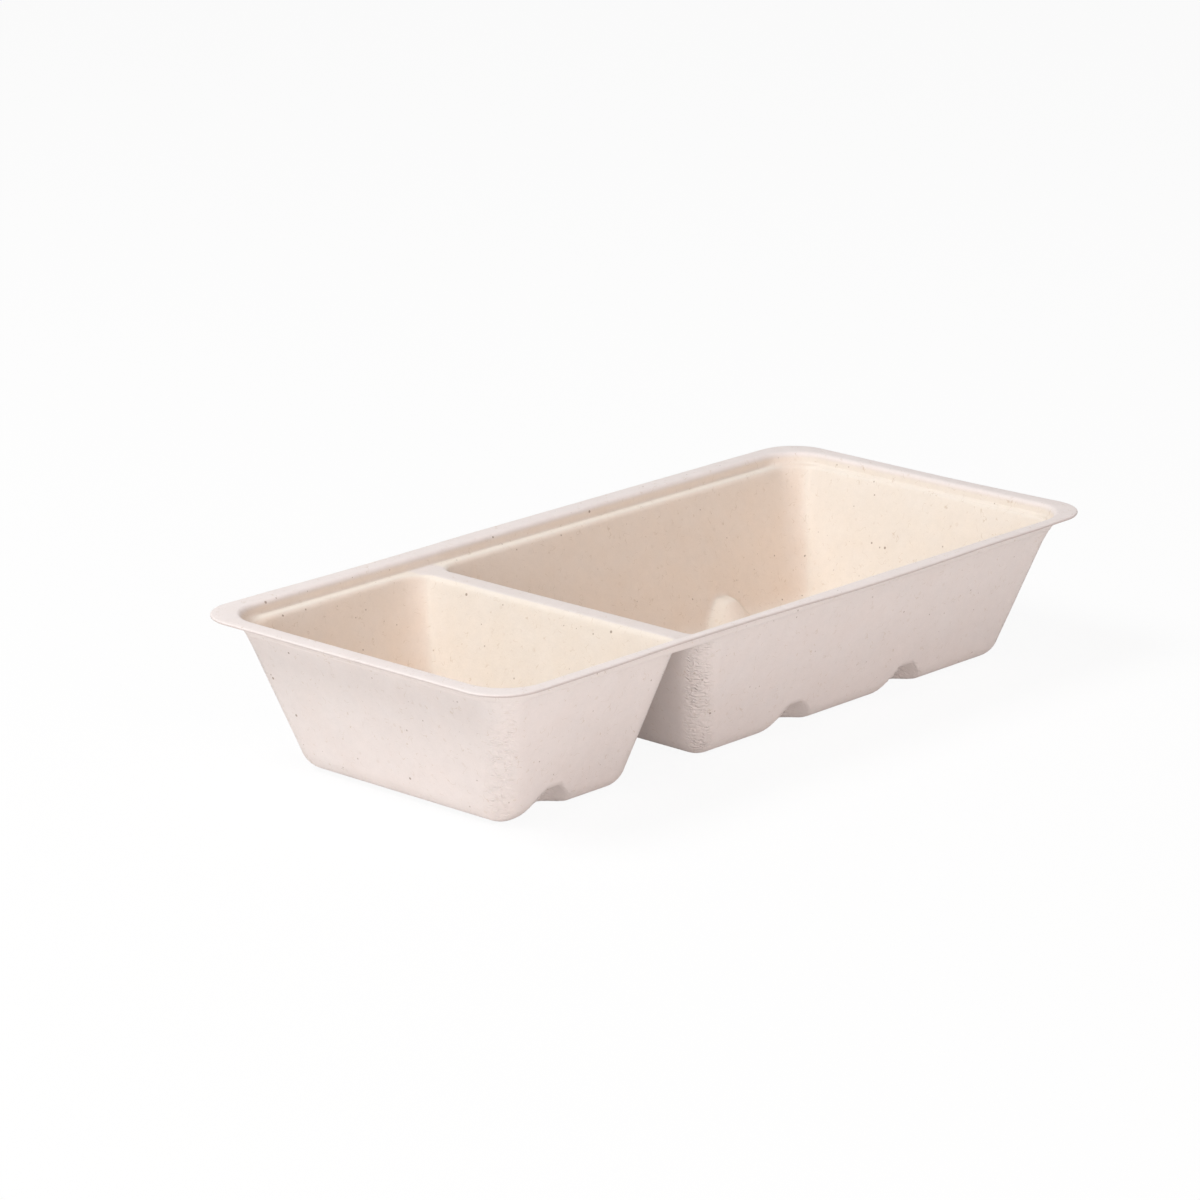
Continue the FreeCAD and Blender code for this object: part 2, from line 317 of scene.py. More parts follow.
def cup_rings(below, large):
    """The rings from the ledge to the floor of one cup."""
    sections, middles = [], []
    divider_side = WEST if large else EAST
    for side in range(4):
        if side == divider_side:
            draft = LARGE_DIVIDER_DRAFT if large else SMALL_DIVIDER_DRAFT
            crest_radius = MOUTH_ROUND_BELOW if below else MOUTH_ROUND
            section, middle = cup_section(CREST, draft, crest_radius, below)
        else:
            _, mouth_radius = ledge_rounds(side, below)
            section, middle = cup_section(mouth_inset(side), DRAFTS[side], mouth_radius, below)
        sections.append(section)
        middles.append(middle)
    first_wall = ROUND_STEPS
    first_foot = ROUND_STEPS + WALL_STEPS
    steps = [LARGE_SIDE if large else SMALL_SIDE]
    rings = []
    for step in range(len(sections[0])):
        place, reach, level = [0] * 4, [0] * 4, [0] * 4
        for side in range(4):
            inset, z = sections[side][step]
            shape = 1.0
            if not below:
                shape = CORNER_SHAPE["along_x" if side in (WEST, EAST) else "along_y"]
            foot_reach = shape * (middles[side][0] - sections[side][first_foot][0])
            if step < first_wall:
                reach[side] = foot_reach + sections[side][first_wall][0] - inset
            elif step < first_foot:
                reach[side] = foot_reach
            else:
                reach[side] = shape * max(middles[side][0] - inset, 0.0)
            start = DIVIDER_X if side == divider_side else TRIM[side]
            place[side] = start + INWARDS[side] * inset
            level[side] = z
        rings.append(ring(place, reach, level, [], steps))
    return rings


# ---------------------------------------------------------------- one skin of the tray
class Skin:
    """The vertices and faces of the tray's upper side or underside.

    Each face corner also has its place on the sheet, along the ring and down the wall in
    millimetres, for the print of the forming mesh.
    """

    def __init__(self, below):
        self.below = below
        self.points = []
        self.faces = []
        self.sheet = []
        self.rim = [self.add(points) for points in rim_rings(below)]
        self.centre_line()
        self.cups = [self.cup(large) for large in (False, True)]
        self.fade_ledge()
        self.strips(self.rim, self.rim[-1], 0.0)
        for loops, border, side_steps in self.cups:
            self.strips(loops, loops[len(loops) // 2], LEDGE_DEPTH + END_FLAT)
            self.floor_faces(loops[-1], border, side_steps)

    def add(self, points):
        """Takes new points in, and gives their numbers."""
        start = len(self.points)
        self.points.extend(map(tuple, points))
        return list(range(start, len(self.points)))

    def at(self, loop):
        """Where the points with these numbers are."""
        return np.array([self.points[i] for i in loop])

    def strips(self, loops, middle, down):
        """Faces between loops that follow each other inwards. Places along the sheet are
        measured on the loop middle, and places down it start from down."""
        around = self.at([*middle, middle[0]])
        lengths = np.linalg.norm(np.diff(around, axis=0), axis=1)
        along = np.concatenate([[0.0], np.cumsum(lengths)])
        for outer, inner in zip(loops, loops[1:]):
            step = np.linalg.norm(self.at(outer) - self.at(inner), axis=1).mean()
            for i in range(len(outer)):
                j = (i + 1) % len(outer)
                self.faces.append((outer[i], outer[j], inner[j], inner[i]))
                self.sheet.append(((along[i], down), (along[i + 1], down),
                                   (along[i + 1], down + step), (along[i], down + step)))
            down += step

    def centre_line(self):
        """The middle of the divider's crest, and where it meets the collar."""
        foot = self.rim[-1]
        self.south_tee = ARC + SMALL_SIDE + HALF_ARC
        self.north_tee = 3 * ARC + sum(OUTER_STEPS) + ACROSS + LARGE_SIDE + HALF_ARC
        south = self.points[foot[self.south_tee]]
        north = self.points[foot[self.north_tee]]
        low = TRIM[SOUTH] + mouth_inset(SOUTH) + CUP_ROUND
        high = TRIM[NORTH] - mouth_inset(NORTH) - CUP_ROUND
        line = []
        for start, end, steps in ((south[1], low, HALF_ARC), (low, high, ACROSS),
                                  (high, north[1], HALF_ARC)):
            line += [start + (end - start) * step / steps for step in range(steps)]
        self.centre = [foot[self.south_tee],
                       *self.add([(DIVIDER_X, y, south[2]) for y in line[1:]]),
                       foot[self.north_tee]]

    def cup(self, large):
        """Loops of one cup from the ledge down, and the border of its floor."""
        foot = self.rim[-1]
        if large:
            outer = [*self.centre[HALF_ARC:0:-1], *foot[self.south_tee:self.north_tee],
                     *self.centre[:HALF_ARC:-1]]
        else:
            outer = [*foot[:self.south_tee], *self.centre, *foot[self.north_tee + 1:]]
        rings = cup_rings(self.below, large)
        first = self.at(outer)
        loops = [outer]
        for step in range(1, LEDGE_STEPS):
            share = step / LEDGE_STEPS
            loops.append(self.add(first * (1 - share) + rings[0] * share))
        loops += [self.add(points) for points in rings[:-1]]
        side_steps = LARGE_SIDE if large else SMALL_SIDE
        return loops, self.floor(rings[-1], side_steps), side_steps

    def fade_ledge(self):
        """At the four corners of the rim the ledge dies out, and the wall runs straight up
        to the bend of the rim. Along the two ends the ledge is only fainter."""
        count = len(self.rim[0])
        bend_end = FLANGE_STEPS + ROUND_STEPS - 1
        (small, _, _), (large, _, _) = self.cups
        below_mouth = LEDGE_STEPS + ROUND_STEPS + FADE_DEPTH
        along = sum(OUTER_STEPS)
        # Where each corner (even) and each side (odd) starts; 3 and 7 are the two ends.
        starts = np.cumsum([0, ARC, along, ARC, ACROSS, ARC, along, ARC])
        weights = np.zeros(count)
        weights[starts[3]:starts[3] + ACROSS] = END_FADE
        weights[starts[7]:starts[7] + ACROSS] = END_FADE
        for start in starts[::2]:
            for offset in range(-FADE_REACH, FADE_REACH + 1):
                i = (start + HALF_ARC + offset) % count
                weight = FADE * math.cos(math.pi / 2 * offset / (FADE_REACH + 1)) ** 2
                weights[i] = max(weights[i], weight)
        for i in np.nonzero(weights)[0]:
            if self.south_tee <= i < self.north_tee:
                loops, j = large, i - self.south_tee + HALF_ARC
            elif i < self.south_tee:
                loops, j = small, i
            else:
                loops, j = small, i - count + len(small[0])
            column = [loop[i] for loop in self.rim[bend_end:]]
            column += [loop[j] for loop in loops[1:below_mouth]]
            here = self.at(column)
            gone = np.linalg.norm(np.diff(here, axis=0), axis=1)
            share = np.concatenate([[0.0], np.cumsum(gone)]) / gone.sum()
            straight = here[0] + (here[-1] - here[0]) * share[:, None]
            for vertex, point in zip(column, here * (1 - weights[i]) + straight * weights[i]):
                self.points[vertex] = tuple(point)

    def floor(self, points, side_steps):
        """The flat floor, a grid whose corners each take in a whole round corner.

        Gives the grid and the grid's vertex for each vertex of the loop round it.
        """
        # Where each corner (even) and each side (odd) of the loop starts.
        starts = np.cumsum([0, ARC, side_steps, ARC, ACROSS, ARC, side_steps, ARC])
        west, east = points[0][0], points[starts[2]][0]
        south, north = points[starts[1]][1], points[starts[5]][1]
        xs = np.linspace(west, east, side_steps + 1)
        ys = np.linspace(south, north, ACROSS + 1)
        z = points[0][2]
        grid = [self.add([(x, y, z) for x in xs]) for y in ys]
        border = {}
        corners = [(0, grid[0][0]), (2, grid[0][-1]), (4, grid[-1][-1]), (6, grid[-1][0])]
        for which, vertex in corners:
            for step in range(ARC + 1):
                border[(starts[which] + step) % len(points)] = vertex
        for step in range(1, side_steps):
            border[starts[1] + step] = grid[0][step]
            border[starts[5] + step] = grid[-1][side_steps - step]
        for step in range(1, ACROSS):
            border[starts[3] + step] = grid[step][-1]
            border[starts[7] + step] = grid[ACROSS - step][0]
        return grid, border

    def floor_faces(self, outer, floor, side_steps):
        """Faces of a cup's floor, and those between it and the foot's last loop."""
        grid, border = floor
        faces = []
        for i in range(len(outer)):
            j = (i + 1) % len(outer)
            face = (outer[i], outer[j], border[j], border[i])
            faces.append(face if border[i] != border[j] else face[:3])
        for low, high in zip(grid, grid[1:]):
            for i in range(side_steps):
                faces.append((low[i], low[i + 1], high[i + 1], high[i]))
        self.faces += faces
        self.sheet += [tuple(self.points[vertex][:2] for vertex in face) for face in faces]


# ---------------------------------------------------------------- lugs
def smooth_top(first, second, softness):
    """The larger of two arrays, rounded off where they cross."""
    near = np.clip(softness - np.abs(first - second), 0, None) / softness
    return np.maximum(first, second) + near * near * softness / 4


LUG_NEAR = 2.2  # radii round a lug within which points may move
LUG_ABOVE = 3  # and how many times its height
LUG_SEARCH = 60.0  # mm, farther than any point moves
LUG_HALVINGS = 40  # of that distance, to find where a point meets the cone


def press_lugs(points, below):
    """Presses the lugs, cones with a flat top, up into the foot of the long walls. points
    are those of one skin."""
    radius = LUG_RADIUS + (0.0 if below else WALL / math.sin(LUG_SLOPE))
    top = LUG_HEIGHT + (0.0 if below else LUG_TIP_WALL)
    rise = math.tan(LUG_SLOPE)
    foot_line = (HALF_WIDTH - (SIDE_FLAT + RIM_ROUND + COLLAR_DROP + SIDE_LEDGE)
                 - LEDGE_Z * math.tan(SIDE_DRAFT) + WALL / math.cos(SIDE_DRAFT))
    for side, stagger in ((-1, 0.0), (1, LUG_STAGGER)):
        # Points move up and away from the wall, so that the sheet stays even.
        way = np.array([0.0, -side * math.sqrt(0.5), math.sqrt(0.5)])
        for place in LUG_PLACES:
            x, y = place + stagger, side * foot_line + SHIFT
            near = np.hypot(points[:, 0] - x, points[:, 1] - y) < LUG_NEAR * radius
            near &= points[:, 2] < LUG_ABOVE * top
            moved = points[near]
            low = np.full(len(moved), -LUG_SEARCH)
            high = np.full(len(moved), LUG_SEARCH)
            for _ in range(LUG_HALVINGS):
                middle = (low + high) / 2
                at = moved + middle[:, None] * way
                cone = (radius - np.hypot(at[:, 0] - x, at[:, 1] - y)) * rise
                under = -smooth_top(-cone, np.full(len(at), -top), LUG_CROWN) > at[:, 2]
                low = np.where(under, middle, low)
                high = np.where(under, high, middle)
            blend = LUG_BLEND_ABOVE
            if below:
                blend = np.interp(moved[:, 2], (0, LUG_HEIGHT), LUG_BLEND_BELOW)
            lift = smooth_top(low, np.zeros(len(low)), blend)
            points[near] = moved + lift[:, None] * way
    return points


# ---------------------------------------------------------------- irregular pulp
def swell(position, middle, half_width):
    """1 at the middle, easing to 0 at half_width to each side."""
    share = np.clip(np.abs(position - middle) / half_width, 0, 1)
    return 0.5 + 0.5 * np.cos(math.pi * share)


SEED_STEP = (13.7, 5.3, 9.1)  # how far apart two seeds read the noise, in wavelengths


def wander(points, wavelength, seed):
    """Smooth noise between about -1 and 1 at each point."""
    offset = Vector([seed * step for step in SEED_STEP])
    return np.array([noise.noise(Vector(point) / wavelength + offset) for point in points])


def trim_rim(points):
    """The rim as it was trimmed: not quite straight, and a little turned down."""
    x, y = points[:, 0].copy(), points[:, 1].copy()
    east = np.clip(1 - (HALF_LENGTH - x) / END_FLAT, 0, 1)
    west = np.clip(1 - (HALF_LENGTH + x) / END_FLAT, 0, 1)
    south = np.clip(1 - (HALF_WIDTH + y) / NEAR_FLAT, 0, 1)
    north = np.clip(1 - (HALF_WIDTH - y) / FAR_FLAT, 0, 1)
    rough = 0.5 + sum(share * wander(points, length, seed) for share, length, seed in EDGE_WAVES)
    rough *= EDGE_WANDER
    points[:, 0] -= east * (EAST_TRIM * swell(y, 0, HALF_WIDTH) + rough)
    points[:, 0] += west * rough
    points[:, 1] += south * (NEAR_TRIM * swell(x, *NEAR_TRIM_SPAN) + rough)
    points[:, 1] -= north * (FAR_TRIM * swell(x, *FAR_TRIM_SPAN) + rough)
    points[:, 2] -= east * EAST_DROOP * swell(y, 0, HALF_WIDTH)
    points[:, 2] -= south * NEAR_DROOP * swell(x, *NEAR_DROOP_SPAN)
    return points


def warp(points):
    """Walls a little out of true, more towards the rim, and nothing at the foot."""
    free = np.clip(points[:, 2] / HEIGHT, 0, 1)
    moves = np.zeros((len(points), 2))
    for share, length, x_seed, y_seed in WARP_WAVES:
        moves += share * np.stack([wander(points, length, x_seed),
                                   wander(points, length, y_seed)], 1)
    points[:, :2] += WARP * np.sqrt(free)[:, None] * moves
    dips = 0.5 + 0.5 * wander(points, RIM_WAVE_LENGTH, RIM_WAVE_SEED)
    points[:, 2] -= RIM_WAVE * free ** 3 * dips
    return points


# ---------------------------------------------------------------- the whole tray
FLATTER = 1e-6  # a face is turned only for a gain above rounding errors
NO_AREA = 1e-12  # in place of nothing, where a face has no area to divide by


def turn_faces(points, faces, sheet):
    """Starts each four-sided face at the corner from which the cut across it is the flatter
    one, as a face is cut in two from its first corner to its third."""
    fours = [number for number, face in enumerate(faces) if len(face) == 4]
    a, b, c, d = (points[column] for column in np.array([faces[i] for i in fours]).T)

    def flatness(first, second, third, fourth):
        one = np.cross(second - first, third - first)
        other = np.cross(third - first, fourth - first)
        size = np.linalg.norm(one, axis=1) * np.linalg.norm(other, axis=1)
        return (one * other).sum(axis=1) / np.maximum(size, NO_AREA)

    turned = flatness(b, c, d, a) > flatness(a, b, c, d) + FLATTER
    for number in np.array(fours)[turned]:
        faces[number] = faces[number][1:] + faces[number][:1]
        sheet[number] = sheet[number][1:] + sheet[number][:1]


def build_tray():
    """Points in millimetres, faces, each face corner's place on the sheet, and for each
    point how far it lies towards the underside."""
    upper, lower = Skin(False), Skin(True)
    tops = press_lugs(np.array(upper.points), False)
    unders = press_lugs(np.array(lower.points), True)
    offset, count = len(tops), len(tops) + len(unders)
    points = [tops, unders]
    side = [np.zeros(len(tops)), np.ones(len(unders))]
    faces = upper.faces + [tuple(i + offset for i in face[::-1]) for face in lower.faces]
    sheet = upper.sheet + [corners[::-1] for corners in lower.sheet]

    angles = [math.pi / 2 * step / EDGE_STEPS for step in range(1, EDGE_STEPS + 1)]
    edge = [(EDGE_ROUND * (1 - math.sin(a)), HEIGHT - EDGE_ROUND * (1 - math.cos(a)))
            for a in angles]
    # The lower half mirrors the upper one about the middle of the wall.
    edge += [(inset, 2 * HEIGHT - WALL - z) for inset, z in edge[::-1]]
    loops = [upper.rim[0]]
    for number, (inset, z) in enumerate(edge, start=1):
        place = [TRIM[which] + INWARDS[which] * inset for which in range(4)]
        loop = ring(place, [RIM_CORNER - inset] * 4, [z] * 4, BREAKS, OUTER_STEPS)
        points.append(loop)
        side.append(np.full(len(loop), number / (len(edge) + 1)))
        loops.append(list(range(count, count + len(loop))))
        count += len(loop)
    loops.append([i + offset for i in lower.rim[0]])
    for a, b in zip(loops, loops[1:]):
        for i in range(len(a)):
            j = (i + 1) % len(a)
            faces.append((a[i], b[i], b[j], a[j]))
            sheet.append(((i, 0), (i, 1), (i + 1, 1), (i + 1, 0)))
    points = warp(trim_rim(np.concatenate(points)))
    points[:, 0] = np.clip(points[:, 0], -HALF_LENGTH, HALF_LENGTH)
    points[:, 1] = np.clip(points[:, 1], -HALF_WIDTH, HALF_WIDTH)
    turn_faces(points, faces, sheet)
    return points, faces, sheet, np.concatenate(side)


def tray_mesh():
    """The tray in metres, with what the material reads: which side a point is on, and
    where each face corner lies on the sheet."""
    points, faces, sheet, side = build_tray()
    mesh = bpy.data.meshes.new("tray_pulp")
    mesh.from_pydata((points * MM).tolist(), [], faces)
    mesh.polygons.foreach_set("use_smooth", [True] * len(faces))
    underside = mesh.attributes.new("underside", "FLOAT", "POINT")
    underside.data.foreach_set("value", side)
    on_sheet = mesh.attributes.new("sheet", "FLOAT_VECTOR", "CORNER")
    on_sheet.data.foreach_set("vector", [value for corners in sheet for u, v in corners
                                         for value in (u, v, 0.0)])
    mesh.update()
    return mesh


tray = bpy.data.objects.new("tray_pulp", tray_mesh())
bpy.context.scene.collection.objects.link(tray)
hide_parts("tray")
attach(tray, "root")


# ---------------------------------------------------------------- shader graphs
WHITE = (1, 1, 1, 1)


class Graph:
    """Short names for making and linking the nodes of one material."""

    def __init__(self, name):
        self.material = bpy.data.materials.new(name)
        self.material.use_nodes = True
        self.nodes = self.material.node_tree.nodes
        self.links = self.material.node_tree.links

    def put(self, socket, value):
        """Links another node's output to the socket, or sets a plain value."""
        if isinstance(value, bpy.types.NodeSocket):
            self.links.new(value, socket)
        else:
            socket.default_value = value

    def math(self, operation, *values):
        node = self.nodes.new("ShaderNodeMath")
        node.operation = operation
        for socket, value in zip(node.inputs, values):
            self.put(socket, value)
        return node.outputs[0]

    def scaled(self, value, by, start=0.0):
        """start + value * by."""
        return self.math("MULTIPLY_ADD", value, by, start)

    def rest(self, value):
        """1 - value."""
        return self.math("SUBTRACT", 1.0, value)

    def times(self, first, second):
        return self.math("MULTIPLY", first, second)

    def wave(self, value, length, lean=0.0):
        """A sine of that wavelength, shifted by lean radians."""
        return self.math("SINE", self.scaled(value, 2 * math.pi / length, lean))

    def vector(self, operation, *values):
        node = self.nodes.new("ShaderNodeVectorMath")
        node.operation = operation
        for socket, value in zip(node.inputs, values):
            self.put(socket, value)
        return node.outputs["Vector"]

    def split(self, vector):
        """The X, Y and Z of a vector."""
        node = self.nodes.new("ShaderNodeSeparateXYZ")
        self.put(node.inputs[0], vector)
        return node.outputs

    def attribute(self, name):
        node = self.nodes.new("ShaderNodeAttribute")
        node.attribute_name = name
        return node.outputs

    def ramp(self, value, low, high):
        """0 below low, 1 above high, and eased between."""
        node = self.nodes.new("ShaderNodeMapRange")
        node.interpolation_type = "SMOOTHSTEP"
        self.put(node.inputs["Value"], value)
        node.inputs["From Min"].default_value = low
        node.inputs["From Max"].default_value = high
        return node.outputs["Result"]

    def noises(self, vector, per_mm, detail=2.0, roughness=0.5, seed=(0, 0, 0)):
        """The two outputs of a noise texture, both round 0.5."""
        node = self.nodes.new("ShaderNodeTexNoise")
        self.put(node.inputs["Vector"], self.vector("ADD", vector, seed))
        node.inputs["Scale"].default_value = per_mm
        node.inputs["Detail"].default_value = detail
        node.inputs["Roughness"].default_value = roughness
        return node.outputs

    def noise(self, vector, **kind):
        return self.noises(vector, **kind)["Fac"]

    def blend(self, share, first, second):
        node = self.nodes.new("ShaderNodeMix")
        node.data_type = "RGBA"
        self.put(node.inputs["Factor"], share)
        self.put(node.inputs["A"], first)
        self.put(node.inputs["B"], second)
        return node.outputs["Result"]


# ---------------------------------------------------------------- pulp
CREAM = (0.87, 0.803, 0.722, 1)  # the smooth side, down in the cups
SHADED_CREAM = (0.865, 0.76, 0.672, 1)  # CREAM made redder and a little darker on the long walls: painted shade
PALE = (0.875, 0.81, 0.785, 1)  # the smooth side of the rim
SHADED_PALE = (0.82, 0.757, 0.725, 1)  # PALE darkened on the divider's crest: painted shade, as the crest lies low between the cups
ROSE = (0.855, 0.778, 0.742, 1)  # the side that lay on the forming mesh
CUT_AND_SHADOW = (0.64, 0.55, 0.52, 1)  # the trimmed edge: its own browner colour, darkened further as painted shadow under the flange
STRAW = (0.62, 0.50, 0.38, 1)
BRAN = (0.28, 0.19, 0.13, 1)

# Where one look gives way to the next, by the surface's direction or its place.
LONG_WALL = (0.3, 0.8)  # the normal's Y, from an end wall to a long one, where the long walls' painted shade comes in
LEVEL = (0.85, 0.98)  # the normal's Z, from a slope to a level part
CORNER = (0.06, 0.40)  # the normal's X times its Y, from a wall to an upright corner
RIM_DEPTH = (0.5, 1.9)  # mm below the rim's top
CREST_REACH = 2.0  # mm past the crest's edge
CUP_REACH = 5.0  # mm to each side of the divider's middle
MESHED = (0.9, 1.0)  # the attribute "underside", which is 0 on the smooth side
CUT_STARTS, CUT_ENDS = (0.2, 0.6), (0.0, 0.1)  # the same attribute, and 1 minus it; they keep the cut's dark band, painted shadow in part, to the edge's lower part
CUT_SIDE = (0.2, 0.7)  # the normal's Y, from an end's cut to a long side's
CUT_AT_ENDS = 0.65  # how much of the cut's colour and painted shadow the two ends show

# Noises, with their fineness in 1/mm.
CLOUDS = dict(per_mm=0.09)
PATCHES = dict(per_mm=0.45, detail=3.0, roughness=0.6, seed=(31, 7, 3))
GRAIN = dict(per_mm=2.4, roughness=0.6)
REDNESS = dict(per_mm=0.13, seed=(44, 21, 8))
STRANDS = dict(per_mm=0.42, detail=1.0, seed=(5, 90, 40))
STRAND_PLACES = dict(per_mm=0.55, detail=0.0, seed=(60, 11, 77))
LUMPS = dict(per_mm=1.1, detail=3.0, roughness=0.65)
SWELLS = dict(per_mm=0.22, detail=1.0)
SHAKE = dict(per_mm=0.5)
WEAR = dict(per_mm=0.05, detail=1.0, seed=(70, 2, 18))

CLOUD_TONE, PATCH_TONE, GRAIN_TONE = 0.05, 0.07, 0.07
SATURATION, SATURATION_SPREAD = 0.82, 0.36  # the least, and what REDNESS adds
STRAND_EDGE = (0.004, 0.013)  # how far from its middle value STRANDS still shows a fibre
STRAND_SHARE = (0.57, 0.66)  # above these values of STRAND_PLACES there are fibres
FIBRE_SHOWS = 0.42
# Specks: the size of the cells that may hold one and its own size, both in mm, the share
# of cells that do, a seed, how strongly it shows, and its colour.
SPECKS = ((1.3, 0.22, 0.05, (0, 0, 0), 0.55, BRAN),
          (2.6, 0.36, 0.035, (9, 4, 2), 0.7, BRAN),
          (1.9, 0.5, 0.10, (3, 8, 5), 0.16, STRAW))

# The print of the forming mesh, in mm; the heights are then scaled by the depths.
RIDGE_PITCH, RIDGE_HEIGHT = 1.1, 0.45
RIDGE_SWAY, RIDGE_SWAY_LENGTH = 1.3, 2.3  # radians to and fro, over so many mm
THREAD_PITCH, THREAD_HEIGHT = 1.15, 0.15
RIPPLE = dict(per_mm=1.0, detail=1.0)
RIPPLE_SCALE, RIPPLE_HEIGHT = (0.7, 1.9, 1.0), 3.6  # along the wall, down it, and unused
PRINT_SHAKE = (2.4, 2.2, 0)  # how far SHAKE shifts the print along and down the wall
PRINT_DEPTH, CORNER_PRINT_DEPTH = 0.007, 0.18
WORN, WORN_PRINT = (0.35, 0.65), 0.45  # what is left of it where WEAR is low
SMOOTH_SIDE_PRINT = 0.12
SMALL_CUP_PRINT = 0.6
PRINT_STARTS = (2.0, 6.0)  # below the rim's top
LUMP_HEIGHT, SWELL_HEIGHT, FIBRE_HEIGHT = 0.09, 0.16, 0.02

ROUGHNESS, ROUGHNESS_SPREAD = 0.76, 0.14  # the least, and what PATCHES adds
SPECULAR = 0.3


def side_colour(g, place, facing, side):
    """The colours of the smooth side, the meshed side and the trimmed edge between them, with
    painted shade on the long cup walls and the divider's crest, and painted shadow along the cut
    edge.
    place, in mm, and facing are split into X, Y and Z. side is 0 on the smooth side, 1 on
    the meshed one, and between on the edge."""
    along_sides = g.math("ABSOLUTE", facing["Y"])
    from_divider = g.math("ABSOLUTE", g.math("SUBTRACT", place["X"], DIVIDER_X))
    below_rim = g.ramp(g.math("SUBTRACT", HEIGHT, place["Z"]), *RIM_DEPTH)
    off_crest = g.math("MAXIMUM", g.ramp(from_divider, CREST, CREST + CREST_REACH),
                       g.rest(g.ramp(facing["Z"], *LEVEL)))
    # Painted shade: the long walls in the cups take a redder, darker copy of the cup colour.
    cup_wall = g.blend(g.ramp(along_sides, *LONG_WALL), CREAM, SHADED_CREAM)
    # Painted shade: level parts below the rim, on the divider's crest, take a darker copy of the
    # rim colour.
    level_part = g.blend(below_rim, PALE, SHADED_PALE)
    smooth_side = g.blend(g.times(below_rim, off_crest), level_part, cup_wall)
    both_sides = g.blend(g.ramp(side, *MESHED), smooth_side, ROSE)
    # The trimmed edge's own browner colour, with painted shadow under the flange, on the edge's
    # lower part and most along the long sides.
    cut = g.times(g.ramp(side, *CUT_STARTS), g.ramp(g.rest(side), *CUT_ENDS))
    shows = g.scaled(g.ramp(along_sides, *CUT_SIDE), 1 - CUT_AT_ENDS, CUT_AT_ENDS)
    return g.blend(g.times(cut, shows), both_sides, CUT_AND_SHADOW)


def mottled(g, colour, place, patch):
    """The colour made lighter, darker and redder from place to place."""
    tone = 1.0
    for value, strength in ((g.noise(place, **CLOUDS), CLOUD_TONE), (patch, PATCH_TONE),
                            (g.noise(place, **GRAIN), GRAIN_TONE)):
        tone = g.math("ADD", tone, g.scaled(value, strength, -strength / 2))
    hue = g.nodes.new("ShaderNodeHueSaturation")
    g.put(hue.inputs["Color"], colour)
    g.put(hue.inputs["Value"], tone)
    saturation = g.scaled(g.noise(place, **REDNESS), SATURATION_SPREAD, SATURATION)
    g.put(hue.inputs["Saturation"], saturation)
    return hue.outputs["Color"]


def fibres(g, place):
    """1 on thin curved lines, where a noise crosses its middle, in scattered patches."""
    from_strand = g.math("ABSOLUTE", g.math("SUBTRACT", g.noise(place, **STRANDS), 0.5))
    scattered = g.ramp(g.noise(place, **STRAND_PLACES), *STRAND_SHARE)
    return g.times(scattered, g.rest(g.ramp(from_strand, *STRAND_EDGE)))


def specks(g, place, cell, size, share, seed):
    """1 in the middle of a share of the cells, down to 0 at a speck's edge. A speck is from
    half to one and a half times size."""
    cells = g.nodes.new("ShaderNodeTexVoronoi")
    g.put(cells.inputs["Vector"], g.vector("ADD", place, seed))
    cells.inputs["Scale"].default_value = 1 / cell
    chance = g.nodes.new("ShaderNodeSeparateColor")
    g.put(chance.inputs[0], cells.outputs["Color"])
    chosen = g.math("LESS_THAN", chance.outputs[0], share)
    reach = g.times(g.math("ADD", chance.outputs[1], 0.5), size / cell)
    from_middle = g.math("DIVIDE", cells.outputs["Distance"], reach)
    return g.times(chosen, g.rest(g.ramp(from_middle, 0.5, 1.0)))


def mesh_print(g, vector, facing, side):
    """The print of the forming mesh: ridges along the wall, threads across them, and the
    ripple of broken fibres. It follows the sheet, and is shaken a little out of line.
    vector is the place in mm."""
    place = g.split(vector)
    shift = g.noises(vector, **SHAKE)["Color"]
    shaken = g.vector("MULTIPLY_ADD", shift, PRINT_SHAKE, g.attribute("sheet")["Vector"])
    on_sheet = g.split(shaken)
    sway = g.times(g.wave(on_sheet["X"], RIDGE_SWAY_LENGTH), RIDGE_SWAY)
    ridge = g.times(g.wave(on_sheet["Y"], RIDGE_PITCH, sway), RIDGE_HEIGHT)
    weave = g.scaled(g.wave(on_sheet["X"], THREAD_PITCH), THREAD_HEIGHT, ridge)
    ripple = g.noise(g.vector("MULTIPLY", shaken, RIPPLE_SCALE), **RIPPLE)
    weave = g.scaled(g.math("SUBTRACT", ripple, 0.5), RIPPLE_HEIGHT, weave)

    # It is deepest round the upright corners, where the wall faces between X and Y.
    askew = g.math("ABSOLUTE", g.times(facing["X"], facing["Y"]))
    depth = g.scaled(g.ramp(askew, *CORNER), CORNER_PRINT_DEPTH, PRINT_DEPTH)
    fresh = g.ramp(g.noise(vector, **WEAR), *WORN)
    on_large_cup = g.ramp(place["X"], DIVIDER_X - CUP_REACH, DIVIDER_X + CUP_REACH)
    for share, least in ((fresh, WORN_PRINT), (on_large_cup, SMALL_CUP_PRINT),
                         (g.ramp(side, *MESHED), SMOOTH_SIDE_PRINT)):
        depth = g.times(depth, g.scaled(share, 1 - least, least))
    below_rim = g.ramp(g.math("SUBTRACT", HEIGHT, place["Z"]), *PRINT_STARTS)
    return g.times(weave, g.times(depth, below_rim))


